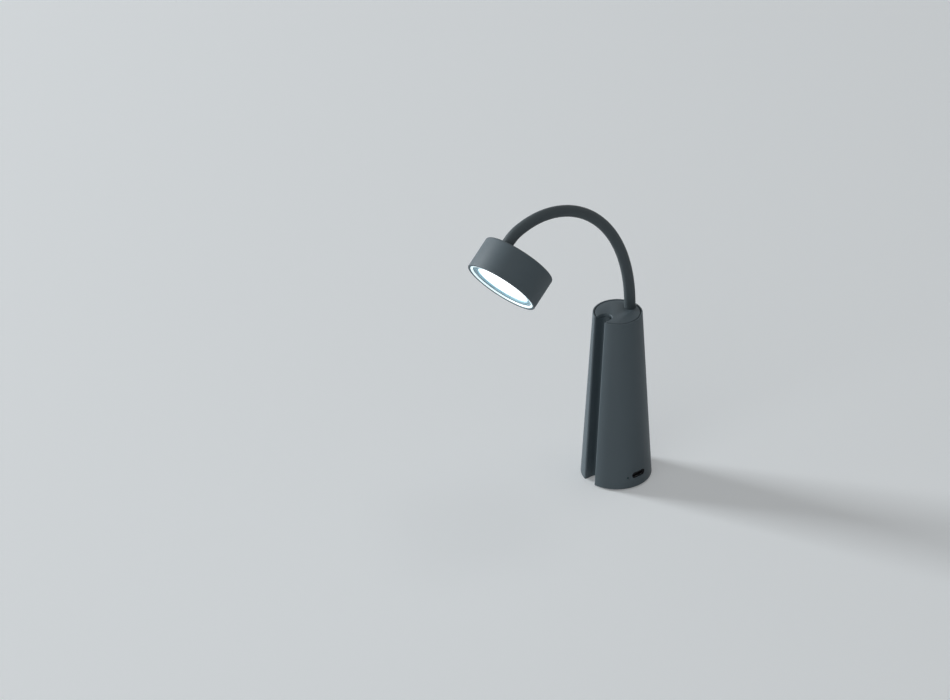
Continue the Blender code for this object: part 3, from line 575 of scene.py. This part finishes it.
# Light board and source: a metal board with a white mask, screwed to the drum's ledge so that it
# sheds its heat there. A pale ceramic plate on it has a field of yellow phosphor inside a dam.
white_mask = finish_coat("white_mask", (0.78, 0.79, 0.78), 0.45, 0.0006, 0.000004, change=0.03)
white_moulding = finish_coat(
    "white_moulding", (0.86, 0.88, 0.9), 0.38, 0.0006, 0.000005, change=0.02
)
phosphor_gel = finish_coat("phosphor_gel", (0.93, 0.78, 0.2), 0.45, 0.0003, 0.00001)
dress("led_board", white_mask)
emitter_low, emitter_high = depth_of("led_emitter")
emitter_side = spread("led_emitter", head_side)
emitter_radius = (emitter_side[1] - emitter_side[0]) / 2
plate_top = emitter_low + (emitter_high - emitter_low) * 0.45
gel_height = emitter_high - plate_top
dam = emitter_radius * 0.78
profile = [(0.0, emitter_low), (emitter_radius, emitter_low), (emitter_radius, plate_top)]
profile += arc((dam, plate_top), gel_height * 0.7, 0.0, pi, 8) + [(0.0, plate_top)]
piece(lathe(profile, 64, head_place), "emitter_plate", white_moulding, "head", "led_emitter")
field = dam - gel_height * 0.75
profile = [(0.0, plate_top + weld), (field, plate_top + weld)]
profile += [(field * cos(angle), plate_top + gel_height * (0.3 + 0.5 * sin(angle)))
            for angle in (0.0, pi / 8, pi / 4, 3 * pi / 8)]
profile += [(0.0, plate_top + gel_height * 0.8)]
piece(lathe(profile, 64, head_place), "emitter_gel", phosphor_gel, "head")


def cross_screw(head_radius, length, place):
    """A pan-head screw with a cross recess, turned about local Z with its head downwards."""
    head_height = head_radius / 2
    shank = head_radius * 0.54
    dome = arc((0.0, head_height), head_height, -pi / 2, 0.0, 5)
    profile = [(radius * 2, height) for radius, height in dome] + [
        (shank, head_height), (shank, length - shank / 2), (shank / 2, length), (0.0, length),
    ]
    slots = []
    for turn in (pi / 4, 3 * pi / 4):
        tool = bmesh.new()
        bmesh.ops.create_cube(tool, size=1.0)
        size = (head_radius * 1.05, head_radius * 0.26, head_height * 1.1)
        bmesh.ops.scale(tool, vec=size, verts=tool.verts)
        bmesh.ops.rotate(tool, matrix=Matrix.Rotation(turn, 3, "Z"), verts=tool.verts)
        slots.append(tool)
    bm = combined(lathe(profile, 32), *slots)
    bmesh.ops.transform(bm, matrix=place, verts=bm.verts)
    return bm


for number in range(1, 4):
    node = f"led_screw_{number}"
    low, high = depth_of(node)
    across = spread(node, head_side)
    local = head_place.inverted() @ middle_of(node)
    upside = Matrix.Translation((local.x, local.y, high)) @ Matrix.Rotation(pi, 4, "X")
    bm = cross_screw((across[1] - across[0]) / 2, high - low, head_place @ upside)
    piece(bm, f"board_screw_{number}", plain_steel, "head", node)


# Reflector: a white moulded cone from the light source out to the diffuser, with a seat for the
# ring. Its outer lip runs to the front beside the shell, and its glow is painted light for the
# source's light falling on it.
cup_low, cup_high = depth_of("reflector_cup")
cup_outside = inside - recess_gap
cup_wall = 0.0008
glow_width = 0.0012
edge_round = 0.00015
ring_side = spread("trim_ring", head_side)
ring_outside = (ring_side[1] - ring_side[0]) / 2
ring_low, ring_high = depth_of("trim_ring")
disc_low, disc_high = depth_of("diffuser")
disc_side = spread("diffuser", head_side)
disc_radius = (disc_side[1] - disc_side[0]) / 2
seat_wall = disc_radius + recess_gap
cone_top = seat_wall - 0.0014
throat = cone_top * 0.82
trim_seat = cup_outside - glow_width
behind = ring_low - recess_gap
under = disc_low - recess_gap - cup_wall
profile = [
    (throat, cup_low), (cone_top, disc_low - recess_gap), (seat_wall, disc_low - recess_gap),
    (seat_wall, behind), (trim_seat, behind),
]
profile += arc((trim_seat + edge_round, cup_high - edge_round), edge_round, pi, pi / 2, 3)
profile += arc((cup_outside - edge_round, cup_high - edge_round), edge_round, pi / 2, 0.0, 3)
profile += [(cup_outside, under), (cone_top + cup_wall, under), (throat + cup_wall, cup_low)]


def make_glow_fall():
    """A group that fades one colour into another with the distance from a point."""
    group, entry, leave = new_group(
        "glow_fall",
        [("Point", "Vector"), ("Near", "Float"), ("Far", "Float"),
         ("Middle", "Color"), ("Edge", "Color")],
        [("Color", "Color")],
    )
    nodes, links = group.nodes, group.links
    place = nodes.new("ShaderNodeTexCoord")
    distance = nodes.new("ShaderNodeVectorMath")
    distance.operation = "DISTANCE"
    fall = nodes.new("ShaderNodeMapRange")
    fall.interpolation_type = "SMOOTHSTEP"
    tone = nodes.new("ShaderNodeMix")
    tone.data_type = "RGBA"
    links.new(place.outputs["Object"], distance.inputs[0])
    links.new(entry.outputs["Point"], distance.inputs[1])
    links.new(distance.outputs["Value"], fall.inputs["Value"])
    links.new(entry.outputs["Near"], fall.inputs["From Min"])
    links.new(entry.outputs["Far"], fall.inputs["From Max"])
    links.new(fall.outputs["Result"], tone.inputs["Factor"])
    links.new(entry.outputs["Middle"], tone.inputs[6])
    links.new(entry.outputs["Edge"], tone.inputs[7])
    links.new(tone.outputs[2], leave.inputs["Color"])
    return group


glow_fall_group = make_glow_fall()
disc_centre = head_origin + light_axis * disc_high


def glowing(name, base, strength, reach, colours):
    """A white moulding that gives off light in one colour near the disc's middle and one far: the
    lamp's own light on the disc, a painted glow on the cup's lip.
    """
    made = finish_coat(name, base, 0.4, 0.0006, 0.000004, change=0.02)
    shader = made.node_tree.nodes["Principled BSDF"]
    shader.inputs["Emission Strength"].default_value = strength
    fall = made.node_tree.nodes.new("ShaderNodeGroup")
    fall.node_tree = glow_fall_group
    fall.inputs["Point"].default_value = disc_centre
    fall.inputs["Near"].default_value, fall.inputs["Far"].default_value = reach
    fall.inputs["Middle"].default_value = (*colours[0], 1.0)
    fall.inputs["Edge"].default_value = (*colours[1], 1.0)
    made.node_tree.links.new(fall.outputs["Color"], shader.inputs["Emission Color"])
    return made


# The lip's glow is painted light: the light that falls on it from the source, made to shine.
lip_painted_glow = glowing(
    "lip_painted_glow", (0.8, 0.85, 0.88), 0.65, (trim_seat, cup_outside),
    ((0.8, 0.97, 1.0), (0.66, 0.92, 1.0)),
)
piece(lathe(profile, 144, head_place), "glowing_cup", lip_painted_glow, "head", "reflector_cup")


# Diffuser: an opal disc, faintly domed, that shines white with a cooler edge. It lies in the cup's
# seat, and the ring holds it there.
dome = 0.0003
opal = glowing(
    "opal_disc", (0.85, 0.88, 0.9), 1.2, (disc_radius * 0.7, disc_radius),
    ((0.92, 0.98, 1.0), (0.55, 0.8, 0.88)),
)
profile = [(0.0, disc_low), (disc_radius, disc_low), (disc_radius, disc_high - dome)]
profile += [(disc_radius * cos(angle), disc_high - dome + dome * sin(angle))
            for angle in (pi / 8, pi / 4, 3 * pi / 8)]
profile += [(0.0, disc_high)]
piece(lathe(profile, 128, head_place), "opal_disc", opal, "head", "diffuser")


# Trim ring: turned from aluminium, pressed into the cup's lip. Its bevelled face and the skirt
# that holds the diffuser down are satin blue-grey, lightened by a painted reflection of the disc's
# glow, and its raised outer rim is painted dark as the shade at the gap beside the glowing lip.
# Face colour: satin blue-grey with a painted reflection of the glow. Rim colour: painted shade.
satin_face_and_glow_reflection = finish_coat("satin_face_and_glow_reflection", (0.34, 0.53, 0.61), 0.5, 0.0003, 0.000005, specular=0.25)
painted_rim_shade = finish_coat("outer_rim_shade_painted", (0.08, 0.14, 0.17), 0.7, 0.0003, 0.000005, specular=0.1)
ring_inside = ring_outside - 0.0028
bevel = (ring_high - ring_low) * 0.6
rim_rise = 0.0002
rim_width = 0.0002
rim_inside, rim_top = ring_outside - rim_width, ring_high + rim_rise
skirt_low, skirt_outside = disc_high - dome * 0.9, ring_inside + bevel
profile = [
    (ring_inside, skirt_low), (skirt_outside, skirt_low), (skirt_outside, ring_low),
    (ring_outside, ring_low), (ring_outside, rim_top), (rim_inside, rim_top),
    (rim_inside, ring_high), (skirt_outside, ring_high), (ring_inside, ring_high - bevel),
]
trim = piece(lathe(profile, 144, head_place), "satin_ring", satin_face_and_glow_reflection, "head", "trim_ring")
trim.data.materials.append(painted_rim_shade)
# The faces of the raised outer rim take the painted shade.
for side in trim.data.polygons:
    off_axis = side.center - head_origin
    reach = (off_axis - light_axis * off_axis.dot(light_axis)).length
    if reach > rim_inside - rim_width / 2:
        side.material_index = 1


# Circuit board: green laminate on four turned brass pillars. A charging chip, a touch chip, a coil
# and rows of small capacitors are soldered to its underside.
brass_turned = finish_coat("turned_brass", (0.72, 0.53, 0.24), 0.3, 0.0004, 0.000005, metallic=1.0)
laminate = finish_coat("green_laminate", (0.02, 0.13, 0.06), 0.42, 0.0008, 0.000006)
tinned = finish_coat("tinned_solder", (0.66, 0.66, 0.67), 0.3, 0.0005, 0.000006, metallic=1.0)
for number in range(1, 5):
    dress(f"board_standoff_{number}", brass_turned)
dress("main_board", laminate)
board_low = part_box("main_board")[0][2]


def block(bm, middle, size, edge=0.0):
    """Adds a box with bevelled edges to a bmesh."""
    one = bmesh.new()
    bmesh.ops.create_cube(one, size=1.0)
    bmesh.ops.scale(one, vec=size, verts=one.verts)
    if edge:
        bmesh.ops.bevel(
            one, geom=one.edges[:], affect="EDGES",
            offset=edge, segments=2, profile=0.5, material=-1,
        )
    bmesh.ops.translate(one, vec=middle, verts=one.verts)
    held = bpy.data.meshes.new("held")
    one.to_mesh(held)
    one.free()
    bm.from_mesh(held)
    bpy.data.meshes.remove(held)


chips, capacitors, solder = bmesh.new(), bmesh.new(), bmesh.new()
for middle, size, edge in (
    ((-0.004, 0.004), (0.005, 0.005, 0.0009), 0.00012),
    ((0.003, 0.008), (0.003, 0.003, 0.0008), 0.0001),
    ((-0.001, -0.004), (0.0045, 0.0045, 0.002), 0.0004),
):
    block(chips, (*middle, board_low - size[2] / 2 - weld), size, edge)
part_pitch = 0.0022
part_size = (0.001, 0.0008, 0.0005)
solder_size = (0.0003, 0.00084, 0.00054)
for row, first in ((0.0125, -0.0044), (-0.0078, -0.0088)):
    for column in range(5):
        spot = Vector((first + column * part_pitch, row, board_low - solder_size[2] / 2 - weld))
        block(capacitors, spot, part_size, 0.00005)
        for way in (-1, 1):
            end = Vector((way * (part_size[0] + solder_size[0]) / 2, 0.0, 0.0))
            block(solder, spot + end, solder_size)
piece(chips, "board_chips", black_moulding, "body")
piece(capacitors, "board_capacitors", brass_turned, "body")
piece(solder, "board_solder", tinned, "body")


# Charging socket: a drawn shell with a rolled mouth, black inside and out as painted shade in the
# port. It is soldered to the board and stands round a black tongue with a row of gilt contacts on
# each side.
# The shell's black is painted shade for the dark inside of the port.
socket_shell_shade_black = finish_coat(
    "socket_shell_painted_shade", (0.014, 0.014, 0.016), 0.5, 0.0005, 0.000004, specular=0.25
)
gilt = finish_coat("gilt_contacts", (0.83, 0.62, 0.28), 0.25, 0.0005, 0.000002, metallic=1.0)
socket_radius = (port_high[2] - port_low[2]) / 2
socket_half = (port_high[1] - port_low[1]) / 2 - socket_radius
socket_wall = 0.0003
mouth = port_high[0]
rolled = arc((mouth - socket_wall / 2, socket_wall / 2), socket_wall / 2, -pi / 2, pi / 2, 6)
socket_form = loft(
    [slot_outline(port_low[0], socket_half, socket_radius)]
    + [slot_outline(across, socket_half, socket_radius, inset) for across, inset in rolled]
    + [slot_outline(port_low[0] + socket_wall * 2, socket_half, socket_radius, socket_wall)]
)
piece(socket_form, "socket_shell", socket_shell_shade_black, "body", "usb_socket")
tongue_low, tongue_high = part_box("usb_tongue")
tongue_middle = middle_of("usb_tongue")
tongue_size = Vector(tongue_high) - Vector(tongue_low)
tongue = bmesh.new()
block(tongue, tongue_middle, tongue_size, 0.0002)
piece(tongue, "socket_tongue", black_moulding, "body", "usb_tongue")
contacts = bmesh.new()
contact_pitch = 0.0005
contact_size = (tongue_size.x * 0.7, 0.00025, 0.00008)
contact_count = 12
for step in range(contact_count):
    across = (step - (contact_count - 1) / 2) * contact_pitch
    for way in (-1, 1):
        spot = tongue_middle + Vector((0.0, across, way * tongue_size.z / 2))
        block(contacts, spot, contact_size)
piece(contacts, "socket_contacts", gilt, "body")


# Cell: a steel can in a blue shrink sleeve, with a rolled groove and a pale ring round its raised
# button. It lies upright in a moulded cradle between two pressed contacts.
plated = finish_coat("nickel_plate", (0.66, 0.64, 0.6), 0.28, 0.0005, 0.000004, metallic=1.0)
shrink_sleeve = finish_coat("shrink_sleeve", (0.04, 0.17, 0.4), 0.35, 0.002, 0.00002)
dress("battery_carrier", black_moulding)
dress("negative_contact", plated)
dress("positive_contact", plated)
cell_low, cell_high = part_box("battery_cell")
cell_radius = (cell_high[0] - cell_low[0]) / 2
cell_place = Matrix.Translation((0.0, (cell_low[1] + cell_high[1]) / 2, cell_low[2]))
cell_length = cell_high[2] - cell_low[2]
fold = cell_radius / 10
shoulder = cell_length - fold * 2
sleeve_mouth = cell_radius * 0.55
ring_foot = shoulder + fold * 0.7
ring_top = shoulder + fold * 1.25
ring_lap = shoulder + fold + weld
button = cell_radius * 0.3
profile = [(0.0, 0.0)] + arc((cell_radius - fold, fold), fold, -pi / 2, 0.0, 6)
profile += arc((cell_radius + fold * 0.6, shoulder - fold * 2), fold, pi * 1.25, pi * 0.75, 6)
profile += arc((cell_radius - fold, shoulder), fold, 0.0, pi / 2, 6)
profile += [(sleeve_mouth, shoulder + fold), (sleeve_mouth, ring_foot), (0.0, ring_foot)]
piece(lathe(profile, 72, cell_place), "wrapped_cell", shrink_sleeve, "body", "battery_cell")
hole = button * 1.15
ring_edge = cell_radius * 0.8
profile = [
    (hole, ring_foot), (sleeve_mouth - weld, ring_foot), (sleeve_mouth - weld, ring_lap),
    (ring_edge, ring_lap), (ring_edge, ring_top), (hole, ring_top),
]
piece(lathe(profile, 48, cell_place), "cell_ring", white_moulding, "body")
profile = [(0.0, ring_foot), (button, ring_foot)]
profile += arc((button - fold / 3, cell_length - fold / 3), fold / 3, 0.0, pi / 2, 4)
profile += [(0.0, cell_length)]
piece(lathe(profile, 36, cell_place), "cell_button", plated, "body")


# Weight and base cover: a plain steel disc that keeps the lamp upright, and the black moulded plate
# that closes the shell over it. Four pan-head screws go up through both into the pillars.
dress("ballast_weight", plain_steel)
dress("base_cover", black_moulding)
for number in range(1, 5):
    node = f"base_screw_{number}"
    low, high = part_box(node)
    foot_point = Matrix.Translation(((low[0] + high[0]) / 2, (low[1] + high[1]) / 2, low[2]))
    bm = cross_screw((high[0] - low[0]) / 2, high[2] - low[2], foot_point)
    piece(bm, f"cover_screw_{number}", plain_steel, "body", node)


# Foot: a soft rubber disc glued under the cover, open where the channel ends, with soft edges.
foot_rubber = finish_coat("foot_rubber", (0.022, 0.024, 0.026), 0.85, 0.0004, 0.00003)
foot_low, foot_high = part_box("base_foot")
foot_edge = 0.00025
foot_wall = 0.0015
foot_form = loft([
    plan(height, inset, foot_wall + inset, foot_edge * 2, foot_high[1])
    for height, inset in rounded_ends(foot_low[2], foot_high[2], foot_edge, foot_edge)
])
piece(foot_form, "soft_foot", foot_rubber, "body", "base_foot")


# Studio: a pale floor, a strong lamp from the left, a broad one in front of the channel and a soft
# one overhead. The floor and the world show pale to the camera and in reflections, and the world
# adds a faint even light.
bpy.context.scene.view_settings.view_transform = "Standard"
pale = (0.8, 0.82, 0.83, 1.0)
floor_drop = 0.00002
floor_mesh = bpy.data.meshes.new("floor")
bm = bmesh.new()
bmesh.ops.create_grid(
    bm, x_segments=2, y_segments=2, size=12.0, matrix=Matrix.Translation((0.0, 0.0, -floor_drop))
)
bm.to_mesh(floor_mesh)
bm.free()
floor = bpy.data.objects.new("floor", floor_mesh)
bpy.context.scene.collection.objects.link(floor)


def seen_by(tree):
    """A value that is 1 for rays that are seen, straight or in gloss or glass, and else 0."""
    ray = tree.nodes.new("ShaderNodeLightPath")
    seen = ray.outputs["Is Camera Ray"]
    for kind in ("Is Glossy Ray", "Is Transmission Ray"):
        either = tree.nodes.new("ShaderNodeMath")
        either.operation = "MAXIMUM"
        tree.links.new(seen, either.inputs[0])
        tree.links.new(ray.outputs[kind], either.inputs[1])
        seen = either.outputs[0]
    return seen


paper = bpy.data.materials.new("floor_paper")
paper.use_nodes = True
paper_nodes, paper_links = paper.node_tree.nodes, paper.node_tree.links
paper_shader = paper_nodes["Principled BSDF"]
paper_shader.inputs["Base Color"].default_value = pale
paper_shader.inputs["Roughness"].default_value = 0.9
paper_shader.inputs["Emission Color"].default_value = pale
paper_lift = paper_nodes.new("ShaderNodeMath")
paper_lift.operation = "MULTIPLY"
paper_lift.inputs[1].default_value = 0.2
paper_links.new(seen_by(paper.node_tree), paper_lift.inputs[0])
paper_links.new(paper_lift.outputs[0], paper_shader.inputs["Emission Strength"])
floor_mesh.materials.append(paper)


def studio_lamp(name, place, size, power, colour):
    """A square area lamp aimed at the lamp's middle."""
    data = bpy.data.lights.new(name, "AREA")
    data.size = size
    data.energy = power
    data.color = colour
    made = bpy.data.objects.new(name, data)
    bpy.context.scene.collection.objects.link(made)
    aim = (Vector((0.0, -0.03, 0.1)) - Vector(place)).to_track_quat("-Z", "Y")
    made.matrix_world = Matrix.Translation(place) @ aim.to_matrix().to_4x4()


studio_lamp("left", (-4.8, -2.85, 1.5), 1.5, 335.0, (0.93, 0.97, 1.0))
studio_lamp("front", (1.38, -3.15, 0.9), 3.3, 40.0, (0.95, 0.98, 1.0))
studio_lamp("overhead", (0.3, 0.6, 4.8), 2.4, 27.0, (1.0, 1.0, 1.0))

world = bpy.data.worlds.new("world")
bpy.context.scene.world = world
world.use_nodes = True
sky_nodes, sky_links = world.node_tree.nodes, world.node_tree.links
soft_sky = sky_nodes["Background"]
soft_sky.inputs["Color"].default_value = (0.86, 0.89, 0.91, 1.0)
soft_sky.inputs["Strength"].default_value = 0.11
seen_sky = sky_nodes.new("ShaderNodeBackground")
seen_sky.inputs["Color"].default_value = pale
seen_sky.inputs["Strength"].default_value = 0.8
choice = sky_nodes.new("ShaderNodeMixShader")
sky_links.new(seen_by(world.node_tree), choice.inputs["Fac"])
sky_links.new(soft_sky.outputs[0], choice.inputs[1])
sky_links.new(seen_sky.outputs[0], choice.inputs[2])
sky_links.new(choice.outputs[0], sky_nodes["World Output"].inputs["Surface"])


# Camera: it stands where the photograph's did, a long lens from the right front, looking down.
# Its numbers were fitted to the body's rims and edges. It needs no shift.
image_width = 950
lens_pixels = 4000
sensor_width = 36.0
camera_place = Vector((1.56617, -1.35628, 1.3807))
camera_towards = Vector((-0.664, 0.528, -0.529)).normalized()
camera_roll = radians(-0.69)
camera_data = bpy.data.cameras.new("camera")
camera_data.sensor_width = sensor_width
camera_data.lens = lens_pixels / image_width * sensor_width
camera_data.clip_end = 20.0
camera = bpy.data.objects.new("camera", camera_data)
bpy.context.scene.collection.objects.link(camera)
level_turn = camera_towards.to_track_quat("-Z", "Y").to_matrix().to_4x4()
camera.matrix_world = (
    Matrix.Translation(camera_place) @ level_turn @ Matrix.Rotation(camera_roll, 4, "Z")
)
bpy.context.scene.camera = camera
